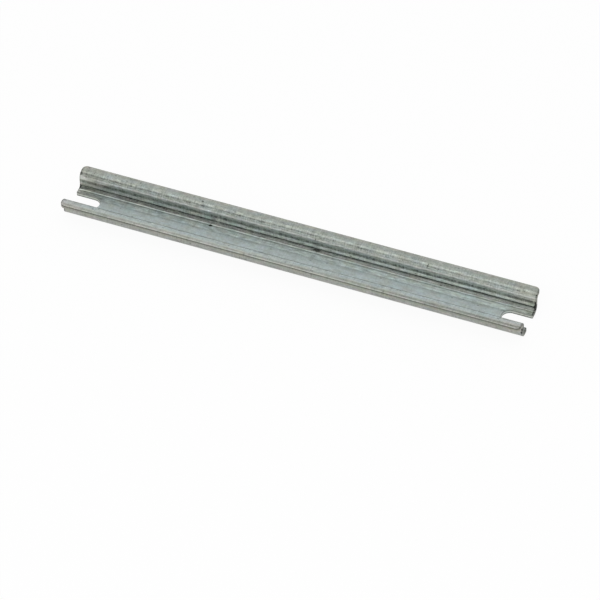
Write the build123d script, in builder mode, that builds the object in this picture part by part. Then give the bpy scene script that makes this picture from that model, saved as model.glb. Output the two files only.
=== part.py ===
from build123d import *
import os

# Top hat mounting rail, cold rolled from one strip of sheet steel and cut to length.
# Origin: centre of the rail on the underside of its web. X runs along the rail, Z up into its open side.

# Rolled section: width over both flanges, width over both walls, height, sheet and inside of the bends
rail_width = 15.0
web_width = 10.5
rail_height = 5.5
sheet_thickness = 1.0
inner_bend_radius = 0.8

# Piece cut from the rolled strip
rail_length = 119.0
flange_corner_radius = 1.2

# Mounting slots along the middle of the web, each open at its end of the rail
slot_width = 4.2
slot_depth = 7.1
slot_mouth_radius = 0.3

# Rim that slitting and punching roll over on the upper side of the sheet
rim_radius = 0.15

# Middle surface of the sheet, half a thickness from either side of it
middle_bend_radius = inner_bend_radius + sheet_thickness / 2
web_middle_z = sheet_thickness / 2
flange_middle_z = rail_height - sheet_thickness / 2
flange_edge_y = rail_width / 2
wall_middle_y = web_width / 2 - sheet_thickness / 2


with BuildPart() as rail:
    # Section: the web, two upright walls and two flanges turned outwards, with a bend at each meeting
    with BuildSketch(Plane.YZ) as section:
        with BuildLine() as middle_line:
            FilletPolyline(
                (0, web_middle_z),
                (wall_middle_y, web_middle_z),
                (wall_middle_y, flange_middle_z),
                (flange_edge_y, flange_middle_z),
                radius=middle_bend_radius,
            )
            mirror(about=Plane.YZ)
        trace(line_width=sheet_thickness)
    extrude(amount=rail_length / 2, both=True)

    # Corners of the flanges, rounded where the piece was cut off
    upright_edges = rail.edges().filter_by(Axis.Z).group_by(Axis.Y)
    fillet(upright_edges[0] + upright_edges[-1], radius=flange_corner_radius)

    # Slots, round at their inner ends, with the corners of their mouths rounded
    with BuildSketch(Plane.XY) as slots:
        with Locations((-rail_length / 2, 0), (rail_length / 2, 0)):
            SlotOverall(2 * slot_depth, slot_width)
    extrude(amount=rail_height, mode=Mode.SUBTRACT)
    slot_edges = rail.edges(Select.LAST).filter_by(Axis.Z).group_by(Axis.X)
    fillet(slot_edges[0] + slot_edges[-1], radius=slot_mouth_radius)

    # Rolled-over rim, which runs from the flange edges on round every corner, across both ends and into the slots
    top_edges = rail.edges().filter_by(Axis.X).group_by(Axis.Z)[-1].group_by(Axis.Y)
    fillet(top_edges[0] + top_edges[-1], radius=rim_radius)

rail.part.label = "rail"

os.makedirs("parts", exist_ok=True)
export_step(rail.part, "parts/rail.step")
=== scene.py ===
"""A length of top hat mounting rail in zinc-plated steel: its surface finish, and a plain studio round it.

Everything stands in the rail's own frame, in metres: X along the rail, Y across it, and Z up out of its
open side. Inside the materials, places and sizes are in millimetres.
"""

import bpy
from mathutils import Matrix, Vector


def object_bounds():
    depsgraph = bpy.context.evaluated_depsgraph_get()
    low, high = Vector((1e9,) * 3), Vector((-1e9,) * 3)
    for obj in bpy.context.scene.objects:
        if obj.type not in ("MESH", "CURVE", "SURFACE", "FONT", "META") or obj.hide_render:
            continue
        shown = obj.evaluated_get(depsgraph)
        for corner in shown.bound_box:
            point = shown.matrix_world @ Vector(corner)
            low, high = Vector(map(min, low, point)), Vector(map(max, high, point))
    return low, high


bl_info = {
    "name": "Zinc-Plated Mounting Rail",
    "version": (1, 0, 0),
    "blender": (4, 5, 0),
    "location": "View3D > Sidebar > Rail",
    "description": "Gives a length of top hat rail its plated finish and sets up a plain studio round it",
    "category": "Object",
}

import math

import bmesh
import bpy
from bpy.props import FloatProperty, FloatVectorProperty, PointerProperty
from mathutils import Matrix, Vector

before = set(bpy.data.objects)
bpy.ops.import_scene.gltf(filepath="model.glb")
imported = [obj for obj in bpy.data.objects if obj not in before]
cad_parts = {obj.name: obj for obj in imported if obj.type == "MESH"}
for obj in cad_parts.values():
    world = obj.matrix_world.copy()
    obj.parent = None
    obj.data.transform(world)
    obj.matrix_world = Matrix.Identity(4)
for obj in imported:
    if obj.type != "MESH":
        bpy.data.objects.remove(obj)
cad_box = [list(corner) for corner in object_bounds()]

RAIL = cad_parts["rail"]
MILLIMETRE = 0.001

# The rail in millimetres: its overall sizes from the frame, then its sheet and bends, half the width over its
# walls, half the width of a slot, and how far in from a flange's edge its upright faces are slit ones
HALF_LENGTH, HALF_WIDTH, HEIGHT = (size / MILLIMETRE for size in cad_box[1])
SHEET = 1.0
INNER_BEND = 0.8
OUTER_BEND = INNER_BEND + SHEET
HALF_WEB = 5.25
HALF_SLOT = 2.1
SLOT_MOUTH_RADIUS = 0.3
SLIT_EDGE_DEPTH = 1.1

# How much of a face's direction lies along the rail on an end, up or down on a level face, and at most up or
# down on an upright one
END_FACING = 0.7
LEVEL_FACING = 0.97
UPRIGHT_FACING = 0.5

# The studio: how much of the floor is plain white to the eye, how bright the surround is, and the two lamps
FLOOR_GLOW = 0.93
SURROUND_LIGHT = 0.8
TOP_LIGHT_PLACE = (0, 0, 1.2)
TOP_LIGHT_SIZE = 1.0
FRONT_LIGHT_PLACE = (0, -0.424, 0.424)
FRONT_LIGHT_SIZE = 0.34

# Patterns in the plating: the size of a grain along the strip, across it and through it, and its fine detail
PATTERNS = {
    "clouds": ((6.0, 2.5, 1.0), 2.0),
    "mottle": ((1.3, 0.8, 1.0), 2.0),
    "fine mottle": ((0.4, 0.3, 1.0), 1.0),
    "cross streaks": ((0.3, 3.0, 1.0), 1.0),
    "rolling lines": ((30.0, 0.14, 1.0), 1.0),
    "drawn lines": ((5.0, 0.11, 1.0), 2.0),
    "long spots": ((2.0, 0.45, 1.0), 2.0),
    "tints": ((3.0, 1.5, 1.0), 2.0),
}

# Zones of the upper side of the strip, by the distance across it: centre, half width and fade. That distance
# starts at the middle of the rail and is the distance out from it plus the height
SECTION_ZONES = {
    "channel": (0.0, 4.2, 1.0),
    "crease": (5.4, 0.7, 0.4),
    "wall": (7.0, 0.7, 0.6),
    "inside": (0.0, 8.0, 1.0),
    "upper bend": (9.9, 1.2, 0.5),
    "edge": (12.8, 0.4, 0.3),
}

# The patterns in the brightness of the plating, with the zone that each shows in, and how strongly
TONE_PATTERNS = (
    ("clouds", "everywhere", 0.10),
    ("mottle", "rough", 0.28),
    ("fine mottle", "rough", 0.22),
    ("cross streaks", "streaky", 0.20),
    ("tints", "channel", 0.07),
    ("rolling lines", "everywhere", 0.08),
    ("drawn lines", "drawn", 0.4),
)

# How much brighter the plating is in a zone
TONE_ZONES = (
    ("rim of an end", -0.45),
    ("outside, at the foot", -0.12),
    ("beside a slot", -0.6),
    ("inside, left end", 0.15),
    ("wall, right end", 0.1),
    ("web, right end", -0.2),
)

# How much pinker the steel is in a zone, and how much warmer
PINKER_ZONES = (
    ("near an end", -0.01),
    ("front flange, near an end", 0.045),
    ("dirty, left end", -0.03),
    # The tints of the wall's painted reflection and of the bend's painted highlight
    ("painted reflection on the wall", 0.035),
    ("painted highlight on the bend", 0.04),
    ("web, left end", 0.02),
)
WARMER_ZONES = (
    ("crease", -0.02),
    ("near an end", 0.015),
    ("web, left end", 0.01),
)

# Bands along the strip, each at its distance across it, which is below zero where the band is only on the
# front side: what it is, its centre, its half width, its fade, how much brighter it is, how much brighter
# again at its right end, and how broken up it is. The web's band beside the bend and the bands in the crease,
# on the wall and on the bend are painted highlights, painted reflections and painted shade.
STRIP_BANDS = (
    ("web, clean from the mill", 0.0, 1.9, 0.6, 0.18, 0.0, 0.0),
    ("web, painted reflection beside the bend", 3.25, 0.45, 0.5, 0.58, 0.20, 0.8),
    ("web, darker before the crease", 4.02, 0.08, 0.25, -0.08, 0.0, 0.3),
    ("crease, painted highlight at its foot", 4.5, 0.08, 0.22, 1.2, -0.4, 0.6),
    ("crease, painted shade and dirt", 5.1, 0.4, 0.3, -0.45, 0.16, 0.3),
    ("crease, painted shade line", 5.92, 0.08, 0.2, -0.72, 0.0, 0.3),
    ("wall, painted reflection of the web", 6.6, 0.2, 0.35, 0.28, 0.18, 1.5),
    ("wall, painted shade under the bend", 7.5, 0.2, 0.4, -0.50, -0.05, 0.2),
    ("bend, painted highlight where it leaves the wall", 8.6, 0.35, 0.4, 0.62, 0.0, 0.4),
    ("bend, painted shade where it turns", 9.7, 0.5, 0.5, -0.19, 0.04, 0.2),
    ("bend, painted dark reflection line", 10.05, 0.1, 0.3, -0.20, 0.03, 0.2),
    ("bend, painted highlight near its top", 10.72, 0.12, 0.25, 0.12, 0.05, 1.2),
    ("flange, grey outer side", 12.0, 0.6, 0.4, -0.09, -0.03, 0.5),
    ("front flange, cleaner beside its bend", -11.5, 0.5, 0.3, 0.22, 0.02, 0.0),
    ("front flange, worn line", -12.4, 0.08, 0.2, -0.12, 0.0, 0.5),
    ("front flange, worn towards its right end", -12.6, 0.5, 0.3, 0.05, -0.10, 0.5),
    ("front flange, bare line beside its edge", -12.85, 0.06, 0.2, 0.05, 0.0, 0.5),
)

# Marks on the rail: what it is, where along the rail and across the strip, its half sizes, and how dark it
# is. Those near an end have their place by the distance in from that end. Several at the ends are painted
# shade and painted shadow, some beside a burr.
MARKS = (
    ("chip with black dirt in it", -24.15, 4.1, 0.5, 0.36, 1.0),
    ("smear in the crease", 3.5, 5.3, 1.15, 0.5, 0.9),
    ("speck on the rear flange", -27.2, 11.5, 0.35, 0.3, 0.7),
    ("nick across the bend", 31.7, 10.1, 0.2, 0.8, 0.6),
    ("nick under the bend", 3.0, 8.9, 0.18, 0.35, 0.7),
    ("speck on the wall, right", 29.0, 6.5, 0.3, 0.25, 0.7),
    ("speck on the wall, middle", 12.2, 6.5, 0.3, 0.25, 0.6),
    ("speck at the crease, right", 35.6, 4.85, 0.3, 0.25, 0.6),
    ("speck at the crease, left", -11.4, 4.7, 0.3, 0.25, 0.5),
    # Painted shade beside the burr at the left end, and painted shade and shadow in the crease there
    ("burr and painted shade at the left end", -HALF_LENGTH, 5.4, 0.5, 1.1, 1.0),
    ("painted shade in the crease, left end", 0.7 - HALF_LENGTH, 4.95, 0.6, 0.3, 0.6),
    ("painted shadow in the crease, left end, first part", 2.0 - HALF_LENGTH, 5.3, 1.5, 0.3, 0.25),
    ("painted shadow in the crease, left end, middle", 4.0 - HALF_LENGTH, 5.5, 1.5, 0.3, 0.25),
    ("painted shadow in the crease, left end, last part", 6.0 - HALF_LENGTH, 5.7, 1.5, 0.3, 0.25),
    ("dull patch at the left end", 5.0 - HALF_LENGTH, 7.6, 5.0, 3.4, 0.12),
    ("dull patch at the right end", HALF_LENGTH - 3.5, 6.8, 4.0, 0.8, 0.1),
    ("front flange, handled at the left", -47.0, -12.5, 14.0, 0.5, 0.07),
    ("front flange, handled at the right", 44.0, -12.5, 20.0, 0.6, 0.1),
    # Painted shade on the right end face and on the front wall's end beside its burrs, and the front wall's
    # painted shadow on the web
    ("burr and painted shade at the right end", HALF_LENGTH - 0.05, 6.1, 0.45, 1.35, 1.0),
    ("painted shade on the right end, below the burr", HALF_LENGTH - 0.05, 3.8, 0.4, 1.1, 0.5),
    ("burr and painted shade at the right end, in front", HALF_LENGTH - 0.1, -8.4, 0.3, 0.45, 0.9),
    ("painted shadow of the front wall, right end", HALF_LENGTH - 0.2, -3.8, 0.8, 1.1, 0.5),
    ("burr and painted shade at the right end, in front at the foot", HALF_LENGTH - 0.25, -7.4, 0.3, 0.35, 0.9),
    # Painted shade beside the burr at the front flange's left end
    ("burr and painted shade at the left end, in front", 0.1 - HALF_LENGTH, -11.9, 0.2, 0.9, 0.4),
)

# Bands on the cut faces, by depth in the sheet: what it is, its centre, its half width, its fade and how much
# brighter it is than the bare steel beside it, whose brightness comes first
EDGE_TONE = 1.17
EDGE_BANDS = (
    ("torn", 0.28, 0.1, 0.2, -0.4),
    ("burnished", 0.8, 0.15, 0.25, 0.32),
)
SLOT_TONE = 1.3
SLOT_BANDS = (
    ("rolled over", 0.08, 0.08, 0.1, -0.6),
    ("sheared", 0.5, 0.12, 0.15, 0.35),
    # The burr band is darker than a burr alone, with painted shade at the foot of the slot wall
    ("burr", 0.95, 0.12, 0.15, -0.9),
)


def colour_setting(name, description, default):
    """A colour that the user can change."""
    return FloatVectorProperty(
        name=name, description=description, subtype="COLOR", size=3, min=0, max=1, default=default
    )


def share_setting(name, description, default):
    """A share from 0 to 1 that the user can change."""
    return FloatProperty(
        name=name, description=description, subtype="FACTOR", min=0, max=1, default=default
    )


class RailFinishSettings(bpy.types.PropertyGroup):
    plating_colour: colour_setting(
        "Plating", "Colour of the zinc plating on the flanges and bends", (0.35, 0.375, 0.337)
    )
    channel_colour: colour_setting(
        "Channel", "Colour of the plating inside the channel, a little bluer", (0.325, 0.375, 0.378)
    )
    warm_colour: colour_setting(
        "Warm", "Colour of the plating in the creases and beside the edges", (0.36, 0.37, 0.335)
    )
    # The soil colour darkens the dirt, and also the marks that are painted shade and painted shadow
    soil_and_shade_colour: colour_setting(
        "Soil", "Colour of the dirt in chips, nicks and creases", (0.03, 0.032, 0.028)
    )
    cut_colour: colour_setting(
        "Cut steel", "Colour of the bare steel where the strip was cut", (0.24, 0.25, 0.22)
    )
    plating_roughness: share_setting("Plating roughness", "How dull the zinc plating is", 0.35)
    cut_roughness: share_setting("Cut roughness", "How dull the cut steel is", 0.5)


class RailStageSettings(bpy.types.PropertyGroup):
    floor_colour: colour_setting("Floor", "Colour of the floor", (0.9, 0.9, 0.9))
    floor_size: FloatProperty(
        name="Floor size",
        description="Length of each side of the floor",
        subtype="DISTANCE",
        unit="LENGTH",
        default=6.0,
    )
    top_light_power: FloatProperty(
        name="Top light",
        description="Power of the soft light overhead",
        subtype="POWER",
        unit="POWER",
        default=1.0,
    )
    front_light_power: FloatProperty(
        name="Front light",
        description="Power of the soft light in front",
        subtype="POWER",
        unit="POWER",
        default=0.6,
    )
    camera_azimuth: FloatProperty(
        name="Camera azimuth",
        description="How far the camera stands round to the right of the rail's front",
        subtype="ANGLE",
        unit="ROTATION",
        default=math.radians(22.64),
    )
    camera_elevation: FloatProperty(
        name="Camera elevation",
        description="How far the camera looks down on the rail",
        subtype="ANGLE",
        unit="ROTATION",
        default=math.radians(45.10),
    )
    camera_roll: FloatProperty(
        name="Camera roll",
        description="How far the camera leans to its side",
        subtype="ANGLE",
        unit="ROTATION",
        default=math.radians(-1.12),
    )
    camera_distance: FloatProperty(
        name="Camera distance",
        description="From the camera to the plane through the rail's origin",
        subtype="DISTANCE",
        unit="LENGTH",
        default=0.9676,
    )
    camera_right: FloatProperty(
        name="Camera right",
        description="How far the camera is moved to its right, off the line to the rail's origin",
        subtype="DISTANCE",
        unit="LENGTH",
        default=0.00059,
    )
    camera_up: FloatProperty(
        name="Camera up",
        description="How far the camera is moved upwards in its picture, off the line to the rail's origin",
        subtype="DISTANCE",
        unit="LENGTH",
        default=-0.00928,
    )
    lens: FloatProperty(
        name="Lens",
        description="Focal length of the camera",
        subtype="DISTANCE_CAMERA",
        unit="CAMERA",
        default=240.0,
    )


class NodeTree:
    """Adds nodes to a shader tree. A socket is given a plain value, or another node's socket to link to."""

    def __init__(self, tree):
        self.tree = tree

    def connect(self, value, socket):
        if isinstance(value, bpy.types.NodeSocket):
            self.tree.links.new(value, socket)
        else:
            socket.default_value = value

    def add(self, kind, inputs=None, **options):
        node = self.tree.nodes.new(kind)
        for option, value in options.items():
            setattr(node, option, value)
        for name, value in (inputs or {}).items():
            self.connect(value, node.inputs[name])
        return node

    def group(self, name, **inputs):
        node = self.add("ShaderNodeGroup", node_tree=bpy.data.node_groups[name])
        for socket, value in inputs.items():
            self.connect(value, node.inputs[socket.replace("_", " ")])
        return node

    def math(self, operation, *values, clamp=False):
        node = self.add("ShaderNodeMath", dict(enumerate(values)), operation=operation, use_clamp=clamp)
        return node.outputs[0]

    def times(self, first, second, clamp=False):
        return self.math("MULTIPLY", first, second, clamp=clamp)

    def plus(self, value, mask, amount):
        """The value, raised by the amount where the mask is 1."""
        return self.math("MULTIPLY_ADD", mask, amount, value)

    def most(self, first, *others):
        """The highest of the values."""
        for other in others:
            first = self.math("MAXIMUM", first, other)
        return first

    def mix(self, share, first, second):
        """From the first value to the second, by the share."""
        node = self.add("ShaderNodeMix", {"Factor": share, "A": first, "B": second}, data_type="FLOAT")
        return node.outputs[0]

    def colour(self, share, first, second):
        """From the first colour to the second, by the share."""
        node = self.add("ShaderNodeMix", {"Factor": share}, data_type="RGBA")
        for name, value in (("A", first), ("B", second)):
            socket = next(s for s in node.inputs if s.name == name and s.type == "RGBA")
            self.connect(value if isinstance(value, bpy.types.NodeSocket) else (*value, 1), socket)
        return next(s for s in node.outputs if s.type == "RGBA")

    def vector(self, operation, *values):
        return self.add("ShaderNodeVectorMath", dict(enumerate(values)), operation=operation).outputs[0]

    def separate(self, vector):
        return self.add("ShaderNodeSeparateXYZ", {0: vector}).outputs

    def ramp(self, value, start, full):
        """From 0 where the value is at the start smoothly to 1 where it is full, upwards or downwards."""
        node = self.add(
            "ShaderNodeMapRange",
            {"Value": value, "From Min": start, "From Max": full},
            interpolation_type="SMOOTHSTEP",
        )
        return node.outputs["Result"]


def new_group(name, inputs, outputs):
    """Starts a shader node group with the named sockets, and returns its builder, inputs and output node."""
    tree = bpy.data.node_groups.new(name, "ShaderNodeTree")
    for socket, (kind, default) in inputs.items():
        made = tree.interface.new_socket(socket, in_out="INPUT", socket_type="NodeSocket" + kind)
        made.default_value = default
    for socket, kind in outputs.items():
        tree.interface.new_socket(socket, in_out="OUTPUT", socket_type="NodeSocket" + kind)
    nodes = NodeTree(tree)
    return nodes, nodes.add("NodeGroupInput").outputs, nodes.add("NodeGroupOutput").inputs


def build_grain_group():
    """Soft irregular variation, mostly from -1 to 1, with grains of a given size along each axis."""
    nodes, given, made = new_group(
        "Grain",
        {
            "Position": ("Vector", (0, 0, 0)),
            "Grain Size": ("Vector", (1, 1, 1)),
            "Detail": ("Float", 2.0),
        },
        {"Value": "Float"},
    )
    place = nodes.vector("DIVIDE", given["Position"], given["Grain Size"])
    noise = nodes.add("ShaderNodeTexNoise", {"Vector": place, "Scale": 1.0, "Detail": given["Detail"]})
    value = nodes.math("MULTIPLY_ADD", noise.outputs["Fac"], 4.0, -2.0)
    nodes.connect(value, made["Value"])


def build_band_group():
    """1 where a value lies in a band, fading smoothly to 0 on both sides of it."""
    nodes, given, made = new_group(
        "Band",
        {
            "Value": ("Float", 0),
            "Centre": ("Float", 0),
            "Half Width": ("Float", 1),
            "Fade": ("Float", 1),
        },
        {"Mask": "Float"},
    )
    off_centre = nodes.math("ABSOLUTE", nodes.math("SUBTRACT", given["Value"], given["Centre"]))
    outer = nodes.math("ADD", given["Half Width"], given["Fade"])
    nodes.connect(nodes.ramp(off_centre, outer, given["Half Width"]), made["Mask"])


def build_spot_group():
    """1 inside an oval spot with an uneven edge, fading to 0 outside it."""
    nodes, given, made = new_group(
        "Spot",
        {
            "Position": ("Vector", (0, 0, 0)),
            "Centre": ("Vector", (0, 0, 0)),
            "Half Size": ("Vector", (1, 1, 1)),
            "Unevenness": ("Float", 0),
        },
        {"Mask": "Float"},
    )
    off_centre = nodes.vector("SUBTRACT", given["Position"], given["Centre"])
    away = nodes.vector("DIVIDE", off_centre, given["Half Size"])
    distance = nodes.add("ShaderNodeVectorMath", {0: away}, operation="LENGTH").outputs["Value"]
    uneven = nodes.math("ADD", distance, given["Unevenness"])
    nodes.connect(nodes.ramp(uneven, 1.15, 0.75), made["Mask"])


def build_sheet_depth_group():
    """How deep a point lies in the sheet, from its upper side down in millimetres, also round the bends."""
    nodes, given, made = new_group("Sheet Depth", {"Position": ("Vector", (0, 0, 0))}, {"Depth": "Float"})
    y, z = nodes.separate(given["Position"])[1:]
    off_middle = nodes.math("ABSOLUTE", y)

    def from_bend(beside, above):
        """Distance from the middle of a bend, or from the flat sheet in line with it."""
        past_side = nodes.math("MAXIMUM", beside, 0.0)
        past_height = nodes.math("MAXIMUM", above, 0.0)
        squares = [nodes.math("POWER", past, 2.0) for past in (past_side, past_height)]
        return nodes.math("SQRT", nodes.math("ADD", *squares))

    lower_bend = from_bend(
        nodes.math("SUBTRACT", off_middle, HALF_WEB - OUTER_BEND), nodes.math("SUBTRACT", OUTER_BEND, z)
    )
    upper_bend = from_bend(
        nodes.math("SUBTRACT", HALF_WEB + INNER_BEND, off_middle),
        nodes.math("SUBTRACT", z, HEIGHT - OUTER_BEND),
    )
    lower = nodes.math("SUBTRACT", lower_bend, INNER_BEND)
    upper = nodes.math("SUBTRACT", OUTER_BEND, upper_bend)
    is_upper = nodes.math("GREATER_THAN", z, HEIGHT / 2)
    nodes.connect(nodes.mix(is_upper, lower, upper), made["Depth"])


class RailTree(NodeTree):
    """The tree of the rail's material, with its places in millimetres and its patterns and zones by name."""

    def __init__(self, tree):
        super().__init__(tree)
        coordinates = self.add("ShaderNodeTexCoord").outputs
        self.facing = self.separate(coordinates["Normal"])
        self.place = self.vector("MULTIPLY", coordinates["Object"], (1 / MILLIMETRE,) * 3)
        self.x, y, self.z = self.separate(self.place)
        self.from_left = self.math("ADD", self.x, HALF_LENGTH)
        self.from_right = self.math("SUBTRACT", HALF_LENGTH, self.x)
        self.from_end = self.math("MINIMUM", self.from_left, self.from_right)
        self.side = self.math("SIGN", y)
        self.off_middle = self.math("ABSOLUTE", y)
        self.across = self.math("ADD", self.off_middle, self.z)
        self.signed_across = self.times(self.across, self.side)
        strip = self.add("ShaderNodeCombineXYZ", {"X": self.x, "Y": self.signed_across})
        self.strip = strip.outputs[0]
        self.patterns = {name: self.grain(*pattern) for name, pattern in PATTERNS.items()}
        self.zones = {"everywhere": 1.0}

    def grain(self, size, detail, on=None):
        """The pattern of grains on the strip, or on the places given."""
        position = self.strip if on is None else on
        made = self.group("Grain", Position=position, Grain_Size=size, Detail=detail)
        return made.outputs["Value"]

    def band(self, value, centre, half_width, fade, label):
        made = self.group("Band", Value=value, Centre=centre, Half_Width=half_width, Fade=fade)
        made.label = label
        return made.outputs["Mask"]

    def plus_bands(self, tone, depth, bands):
        """The brightness of a cut face, with its bands by depth in the sheet."""
        for name, centre, half_width, fade, brighter in bands:
            tone = self.plus(tone, self.band(depth, centre, half_width, fade, name), brighter)
        return tone


def find_faces(rail):
    """The side of the sheet, and the faces where it was cut: both ends, both slit edges and the slots."""
    zones = rail.zones
    facing_x, facing_y, facing_z = rail.facing
    facing_out = rail.times(facing_y, rail.side)
    zones["upper side"] = rail.math("GREATER_THAN", rail.math("SUBTRACT", facing_z, facing_out), 0.0)
    zones["other sides"] = rail.math("SUBTRACT", 1.0, zones["upper side"])
    level = rail.math("ABSOLUTE", facing_z)
    upright = rail.math("LESS_THAN", level, UPRIGHT_FACING)
    past_bend = rail.math("GREATER_THAN", rail.off_middle, HALF_WIDTH - SLIT_EDGE_DEPTH)
    slit_edge = rail.times(upright, past_bend)
    not_level = rail.math("LESS_THAN", level, LEVEL_FACING)
    in_slot = rail.math("LESS_THAN", rail.off_middle, HALF_SLOT + SLOT_MOUTH_RADIUS)
    zones["slot wall"] = rail.times(not_level, in_slot)
    zones["end face"] = rail.math("GREATER_THAN", rail.math("ABSOLUTE", facing_x), END_FACING)
    zones["cut face"] = rail.most(zones["end face"], slit_edge, zones["slot wall"])


def find_section_zones(rail):
    """The zones across the strip, and where its patterns show."""
    zones = rail.zones
    for name, (centre, half_width, fade) in SECTION_ZONES.items():
        zones[name] = rail.times(rail.band(rail.across, centre, half_width, fade, name), zones["upper side"])
    zones["bends"] = rail.most(zones["upper bend"], zones["crease"])
    zones["dirty"] = rail.most(zones["crease"], zones["wall"], zones["other sides"])
    # Where the wall carries its painted reflection and the bend its painted highlight, for their tints
    zones["painted reflection on the wall"] = rail.band(rail.across, 6.7, 0.3, 0.3, "painted reflection on the wall")
    zones["painted highlight on the bend"] = rail.band(rail.across, 8.6, 0.35, 0.3, "painted highlight on the bend")
    foot = rail.band(rail.z, 0.5, 0.9, 0.8, "foot")
    zones["outside, at the foot"] = rail.times(foot, zones["other sides"])
    web_side = rail.times(rail.band(rail.across, 3.4, 0.7, 0.5, "web, beside the bend"), 0.6)
    rough = rail.most(zones["upper bend"], zones["wall"], web_side)
    zones["rough"] = rail.plus(0.6, rough, 0.4)
    zones["streaky"] = rail.times(zones["rough"], rail.plus(1.0, zones["channel"], -0.4))
    zones["drawn"] = rail.most(zones["crease"], rail.times(zones["edge"], 0.5))


def find_end_zones(rail):
    """The zones at the ends, each by the distance in from an end where it starts and where it is full."""
    zones = rail.zones
    zones["rim of an end"] = rail.ramp(rail.from_end, 0.45, 0.2)
    zones["near an end"] = rail.ramp(rail.from_end, 9.5, 0.5)
    beside_slot = rail.band(rail.across, 2.9, 0.4, 0.8, "beside the slots")
    zones["beside a slot"] = rail.times(rail.ramp(rail.from_end, 8.5, 5.0), beside_slot)
    front_flange = rail.ramp(rail.signed_across, -9.5, -11.5)
    zones["front flange, near an end"] = rail.times(zones["near an end"], front_flange)
    zones["inside, left end"] = rail.times(zones["inside"], rail.ramp(rail.from_left, 6.5, 0.5))
    zones["web, left end"] = rail.times(zones["inside, left end"], zones["channel"])
    zones["dirty, left end"] = rail.times(zones["inside, left end"], zones["dirty"])
    zones["wall, right end"] = rail.times(zones["wall"], rail.ramp(rail.from_right, 5.5, 2.0))
    zones["web, right end"] = rail.times(zones["channel"], rail.ramp(rail.from_right, 4.0, 1.0))


def band_strip(rail):
    """How much brighter the bands along the strip make it, most with painted highlights, reflections and
    shade, broken by long spots, with flecks of painted highlight on the bend.
    """
    long_spots = rail.patterns["long spots"]
    to_the_right = rail.math("DIVIDE", rail.x, HALF_LENGTH)
    change = 0.0
    for name, centre, half_width, fade, brighter, brighter_right, broken in STRIP_BANDS:
        measured = rail.across if centre >= 0 else rail.signed_across
        amount = rail.plus(brighter, long_spots, broken * brighter)
        if brighter_right:
            amount = rail.plus(amount, to_the_right, brighter_right)
        change = rail.plus(change, rail.band(measured, centre, half_width, fade, name), amount)
    # Painted highlight on the bend, broken into bright flecks by the long spots
    top_glints = rail.band(rail.across, 10.85, 0.15, 0.25, "painted glints on top of the bend")
    side_glints = rail.band(rail.across, 9.3, 0.35, 0.35, "painted glints on the side of the bend")
    flecks = rail.times(rail.ramp(long_spots, 0.35, 0.8), rail.most(top_glints, side_glints))
    return rail.plus(change, flecks, 0.4)


def tone_plating(rail):
    """How bright the plating is, about 1, with the painted light and shade of the bands along the strip."""
    zones = rail.zones
    tone = 1.0
    for pattern, zone, strength in TONE_PATTERNS:
        tone = rail.plus(tone, rail.times(rail.patterns[pattern], zones[zone]), strength)
    tone = rail.plus(tone, zones["upper side"], band_strip(rail))
    for zone, brighter in TONE_ZONES:
        tone = rail.plus(tone, zones[zone], brighter)
    return tone


def tone_cut_faces(rail):
    """How bright the bare cut faces are, from the rolled-over rim down to the burr."""
    zones = rail.zones
    depth = rail.group("Sheet Depth", Position=rail.place).outputs["Depth"]
    at_tip = rail.times(zones["end face"], rail.math("LESS_THAN", rail.from_end, 1.5))
    inside = rail.times(rail.band(depth, 0.5, 0.25, 0.25, "end, inside"), at_tip)
    edge_tone = rail.plus_bands(rail.plus(EDGE_TONE, inside, -0.25), depth, EDGE_BANDS)
    slot_tone = rail.plus_bands(SLOT_TONE, depth, SLOT_BANDS)
    shear_lines = rail.grain((0.12, 0.12, 1.5), 1.0, rail.place)
    return rail.plus(rail.mix(zones["slot wall"], edge_tone, slot_tone), shear_lines, 0.25)


def find_soil_and_shade(rail):
    """Where the soil colour covers the steel: dirt, painted shade and painted shadow in the marks, and a few
    small pits, but nothing on the left end face.
    """
    zones = rail.zones
    cells = rail.vector("DIVIDE", rail.strip, (3.6, 2.6, 1.0))
    pits = rail.add("ShaderNodeTexVoronoi", {"Vector": cells, "Scale": 1.0}, voronoi_dimensions="2D").outputs
    in_pit = rail.ramp(pits["Distance"], 0.10, 0.04)
    chosen = rail.math("GREATER_THAN", rail.separate(pits["Color"])[0], 0.7)
    soil_and_shade = rail.times(rail.times(in_pit, chosen), 0.4)
    uneven = rail.times(rail.patterns["fine mottle"], 0.4)
    for name, along, over, half_length, half_width, darkness in MARKS:
        spot = rail.group(
            "Spot",
            Position=rail.strip,
            Centre=(along, over, 0),
            Half_Size=(half_length, half_width, 1),
            Unevenness=uneven,
        )
        spot.label = name
        soil_and_shade = rail.most(soil_and_shade, rail.times(spot.outputs["Mask"], darkness))
    left_face = rail.times(zones["end face"], rail.math("LESS_THAN", rail.x, 0.0))
    return rail.times(soil_and_shade, rail.math("SUBTRACT", 1.0, left_face))


def colour_plating(rail, finish):
    """Cool in the channel and on the front bend, warm beside the edges and where it is dirty."""
    zones = rail.zones
    front_bend = rail.band(rail.signed_across, -11.0, 0.55, 0.5, "front bend")
    cool = rail.most(zones["channel"], rail.times(front_bend, rail.times(zones["upper side"], 0.9)))
    cool = rail.math("MULTIPLY_ADD", rail.patterns["tints"], 0.5, rail.plus(0.2, cool, 0.6), clamp=True)
    warm = rail.most(
        zones["crease"],
        zones["edge"],
        zones["wall"],
        rail.math("SUBTRACT", 0.7, zones["upper side"]),
        rail.times(zones["near an end"], 0.6),
        rail.times(zones["beside a slot"], 0.4),
    )
    warm = rail.times(warm, rail.plus(0.7, rail.patterns["drawn lines"], 0.8), clamp=True)
    colour = rail.colour(cool, finish.plating_colour, finish.channel_colour)
    return rail.colour(warm, colour, finish.warm_colour)


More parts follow.
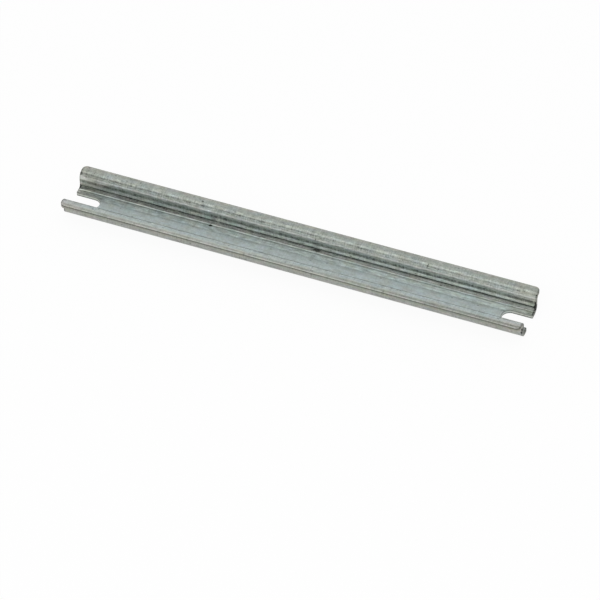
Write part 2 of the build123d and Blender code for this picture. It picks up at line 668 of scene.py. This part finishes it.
def tint(rail, tone):
    """The brightness with faint tints in it: pinker, greener, warmer or cooler, most where it is dirty."""
    zones = rail.zones
    patchy = rail.math("ADD", rail.most(zones["dirty"], zones["edge"]), 1.0)
    elsewhere = rail.vector("ADD", rail.strip, (-9.0, 3.0, 0.0))
    pink_patches = rail.grain((2.2, 1.0, 1.0), 3.0, elsewhere)
    warm_patches = rail.grain((3.4, 1.6, 1.0), 3.0)
    pinker = rail.times(pink_patches, rail.times(patchy, 0.042))
    warmer = rail.times(warm_patches, rail.times(patchy, 0.025))
    for zone, amount in PINKER_ZONES:
        pinker = rail.plus(pinker, zones[zone], amount)
    for zone, amount in WARMER_ZONES:
        warmer = rail.plus(warmer, zones[zone], amount)
    red = rail.times(tone, rail.math("ADD", rail.math("ADD", pinker, warmer), 1.0))
    blue = rail.times(tone, rail.math("ADD", rail.math("SUBTRACT", pinker, warmer), 1.0))
    return rail.add("ShaderNodeCombineXYZ", {"X": red, "Y": tone, "Z": blue}).outputs[0]


def build_finish():
    """The zinc plating and the bare cut faces, as one material."""
    finish = bpy.context.scene.rail_finish
    material = bpy.data.materials.new("Zinc Plated Steel")
    material.use_nodes = True
    material.node_tree.nodes.clear()
    rail = RailTree(material.node_tree)
    find_faces(rail)
    find_section_zones(rail)
    find_end_zones(rail)
    soil_and_shade = find_soil_and_shade(rail)
    cut_face = rail.zones["cut face"]
    mottle, fine_mottle = rail.patterns["mottle"], rail.patterns["fine mottle"]

    tone = rail.mix(cut_face, tone_plating(rail), tone_cut_faces(rail))
    bare = rail.plus(cut_face, rail.zones["slot wall"], -0.5)
    colour = rail.colour(bare, colour_plating(rail, finish), finish.cut_colour)
    colour = rail.vector("MULTIPLY", colour, tint(rail, tone))
    # The soil colour over the steel, for dirt and for the painted shade in some marks
    colour = rail.colour(soil_and_shade, colour, finish.soil_and_shade_colour)

    roughness = rail.plus(finish.plating_roughness, rail.zones["bends"], 0.2)
    roughness = rail.plus(roughness, mottle, 0.08)
    roughness = rail.mix(cut_face, roughness, finish.cut_roughness)

    relief = rail.plus(rail.times(fine_mottle, 0.4), rail.patterns["rolling lines"], 0.6)
    relief = rail.plus(relief, soil_and_shade, -3.0)
    bump = rail.add("ShaderNodeBump", {"Height": relief, "Strength": 0.3, "Distance": 0.01 * MILLIMETRE})
    shader = rail.add(
        "ShaderNodeBsdfPrincipled",
        {"Base Color": colour, "Metallic": 1.0, "Roughness": roughness, "Normal": bump.outputs[0]},
    )
    rail.add("ShaderNodeOutputMaterial", {"Surface": shader.outputs["BSDF"]})
    return material


class RAIL_OT_finish(bpy.types.Operator):
    """Give the rail its zinc-plated surface, with bare steel on its cut faces"""

    bl_idname = "rail.finish"
    bl_label = "Finish Rail"

    def execute(self, context):
        build_grain_group()
        build_band_group()
        build_spot_group()
        build_sheet_depth_group()
        RAIL.material_slots[0].material = build_finish()
        return {"FINISHED"}


def seen_directly(nodes):
    """1 where the camera looks, straight or by a reflection in metal or through glass, and 0 for light."""
    path = nodes.add("ShaderNodeLightPath").outputs
    return nodes.most(path["Is Camera Ray"], path["Is Glossy Ray"], path["Is Transmission Ray"])


def build_floor():
    """A wide pale floor under the rail, seen as nearly plain white but for the rail's own shadow."""
    settings = bpy.context.scene.rail_stage
    mesh = bpy.data.meshes.new("floor")
    form = bmesh.new()
    bmesh.ops.create_grid(form, x_segments=1, y_segments=1, size=settings.floor_size / 2)
    form.to_mesh(mesh)
    form.free()
    floor = bpy.data.objects.new("floor", mesh)
    bpy.context.scene.collection.objects.link(floor)
    material = bpy.data.materials.new("Floor")
    material.use_nodes = True
    material.node_tree.nodes.clear()
    nodes = NodeTree(material.node_tree)
    paper = nodes.add("ShaderNodeBsdfDiffuse", {"Color": (*settings.floor_colour, 1)})
    white = nodes.add("ShaderNodeEmission", {"Color": (1, 1, 1, 1), "Strength": 1.0})
    glow = nodes.times(seen_directly(nodes), FLOOR_GLOW)
    mix = nodes.add("ShaderNodeMixShader", {0: glow, 1: paper.outputs[0], 2: white.outputs[0]})
    nodes.add("ShaderNodeOutputMaterial", {"Surface": mix.outputs[0]})
    mesh.materials.append(material)


def build_world():
    """An even white surround, which also gives a plain level of light."""
    world = bpy.data.worlds.new("Studio")
    world.use_nodes = True
    world.node_tree.nodes.clear()
    nodes = NodeTree(world.node_tree)
    strength = nodes.most(seen_directly(nodes), SURROUND_LIGHT)
    back = nodes.add("ShaderNodeBackground", {"Color": (1, 1, 1, 1), "Strength": strength})
    nodes.add("ShaderNodeOutputWorld", {"Surface": back.outputs[0]})
    bpy.context.scene.world = world


def build_lamp(name, place, size, power):
    """A square soft light that faces the rail."""
    light = bpy.data.lights.new(name, "AREA")
    light.size = size
    light.energy = power
    lamp = bpy.data.objects.new(name, light)
    lamp.location = place
    lamp.rotation_euler = (-Vector(place)).to_track_quat("-Z", "Y").to_euler()
    bpy.context.scene.collection.objects.link(lamp)


def build_camera():
    """The camera, aimed by its angles, its lean and its distance."""
    settings = bpy.context.scene.rail_stage
    azimuth = settings.camera_azimuth
    elevation = settings.camera_elevation
    back = Vector((
        math.sin(azimuth) * math.cos(elevation),
        -math.cos(azimuth) * math.cos(elevation),
        math.sin(elevation),
    ))
    turn = Matrix.Rotation(settings.camera_roll, 3, back) @ back.to_track_quat("Z", "Y").to_matrix()
    camera = bpy.data.objects.new("camera", bpy.data.cameras.new("camera"))
    camera.data.lens = settings.lens
    camera.data.clip_start = settings.camera_distance / 10
    camera.data.clip_end = settings.camera_distance * 10
    camera.location = turn @ Vector((settings.camera_right, settings.camera_up, settings.camera_distance))
    camera.rotation_euler = turn.to_euler()
    bpy.context.scene.collection.objects.link(camera)
    bpy.context.scene.camera = camera


class RAIL_OT_stage(bpy.types.Operator):
    """Set up the pale floor, the soft lights and the camera"""

    bl_idname = "rail.stage"
    bl_label = "Set Up Studio"

    def execute(self, context):
        stage = context.scene.rail_stage
        context.scene.view_settings.view_transform = "Standard"
        build_floor()
        build_world()
        build_lamp("top_light", TOP_LIGHT_PLACE, TOP_LIGHT_SIZE, stage.top_light_power)
        build_lamp("front_light", FRONT_LIGHT_PLACE, FRONT_LIGHT_SIZE, stage.front_light_power)
        build_camera()
        return {"FINISHED"}


class RAIL_PT_sidebar(bpy.types.Panel):
    bl_label = "Mounting Rail"
    bl_idname = "RAIL_PT_sidebar"
    bl_space_type = "VIEW_3D"
    bl_region_type = "UI"
    bl_category = "Rail"

    def draw(self, context):
        scene = context.scene
        for settings, operator in ((scene.rail_finish, "rail.finish"), (scene.rail_stage, "rail.stage")):
            box = self.layout.box()
            for name in settings.__annotations__:
                box.prop(settings, name)
            box.operator(operator)


CLASSES = (RailFinishSettings, RailStageSettings, RAIL_OT_finish, RAIL_OT_stage, RAIL_PT_sidebar)


def register():
    for made in CLASSES:
        bpy.utils.register_class(made)
    bpy.types.Scene.rail_finish = PointerProperty(type=RailFinishSettings)
    bpy.types.Scene.rail_stage = PointerProperty(type=RailStageSettings)


def unregister():
    del bpy.types.Scene.rail_stage
    del bpy.types.Scene.rail_finish
    for made in reversed(CLASSES):
        bpy.utils.unregister_class(made)


def main():
    register()
    bpy.ops.rail.finish()
    bpy.ops.rail.stage()


if __name__ == "__main__":
    main()
